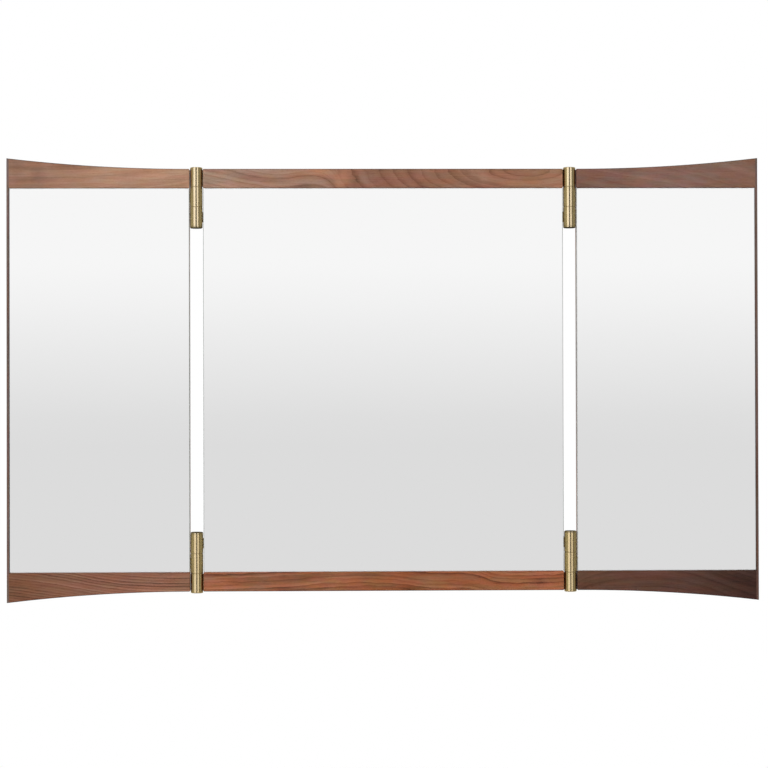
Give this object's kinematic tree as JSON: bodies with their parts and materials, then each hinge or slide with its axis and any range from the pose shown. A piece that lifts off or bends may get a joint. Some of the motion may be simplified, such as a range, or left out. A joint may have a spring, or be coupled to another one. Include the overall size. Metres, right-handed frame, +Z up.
{
  "type": "wall mirror",
  "caption": "Wall mirror with a straight centre panel and hinged side wings, walnut rails that sweep out along the wings, and brass barrel hinges.",
  "frame": {"origin": "on the wall plane, midway between the entries of the two hanging keyholes", "axes": "+X to the right as seen from the front, +Y into the wall, +Z up; the mirrors face -Y"},
  "size_m": [1.3002, 0.0277, 0.767],
  "materials": {
    "walnut": "oiled walnut, satin",
    "dark_walnut": "oiled walnut, satin",
    "plywood": "raw birch plywood",
    "mirror_glass": "silvered float glass",
    "brass": "satin brass",
    "steel": "zinc plated",
    "rubber": "matt"
  },
  "bodies": {
    "centre_panel": {"centre_top_rail": "walnut", "centre_bottom_rail": "walnut", "centre_left_stile": "dark_walnut", "centre_right_stile": "dark_walnut", "centre_backing_board": "plywood", "centre_mirror_glass": "mirror_glass", "top_left_outer_knuckle": "brass", "top_left_inner_knuckle": "brass", "top_left_hinge_pin": "brass", "top_left_thrust_washers": "brass", "top_left_centre_screws": "steel", "top_right_outer_knuckle": "brass", "top_right_inner_knuckle": "brass", "top_right_hinge_pin": "brass", "top_right_thrust_washers": "brass", "top_right_centre_screws": "steel", "bottom_left_outer_knuckle": "brass", "bottom_left_inner_knuckle": "brass", "bottom_left_hinge_pin": "brass", "bottom_left_thrust_washers": "brass", "bottom_left_centre_screws": "steel", "bottom_right_outer_knuckle": "brass", "bottom_right_inner_knuckle": "brass", "bottom_right_hinge_pin": "brass", "bottom_right_thrust_washers": "brass", "bottom_right_centre_screws": "steel", "left_hanging_plate": "steel", "right_hanging_plate": "steel", "hanging_plate_screws": "steel", "centre_wall_bumpers": "rubber"},
    "left_wing": {"left_wing_top_rail": "walnut", "left_wing_bottom_rail": "walnut", "left_wing_inner_stile": "dark_walnut", "left_wing_outer_stile": "dark_walnut", "left_wing_edge_strip": "dark_walnut", "left_wing_backing_board": "plywood", "left_wing_mirror_glass": "mirror_glass", "top_left_middle_knuckle": "brass", "top_left_wing_screws": "steel", "bottom_left_middle_knuckle": "brass", "bottom_left_wing_screws": "steel", "left_wing_wall_bumpers": "rubber"},
    "right_wing": {"right_wing_top_rail": "walnut", "right_wing_bottom_rail": "walnut", "right_wing_inner_stile": "dark_walnut", "right_wing_outer_stile": "dark_walnut", "right_wing_edge_strip": "dark_walnut", "right_wing_backing_board": "plywood", "right_wing_mirror_glass": "mirror_glass", "top_right_middle_knuckle": "brass", "top_right_wing_screws": "steel", "bottom_right_middle_knuckle": "brass", "bottom_right_wing_screws": "steel", "right_wing_wall_bumpers": "rubber"}
  },
  "joints": [
    {"name": "left_wing_hinge", "type": "hinge", "parent": "centre_panel", "child": "left_wing", "pos_m": [-0.3233, -0.017, -0.344], "axis": [0, 0, 1], "range_deg": [0, 120]},
    {"name": "right_wing_hinge", "type": "hinge", "parent": "centre_panel", "child": "right_wing", "pos_m": [0.3233, -0.017, -0.344], "axis": [0, 0, -1], "range_deg": [0, 120]}
  ]
}
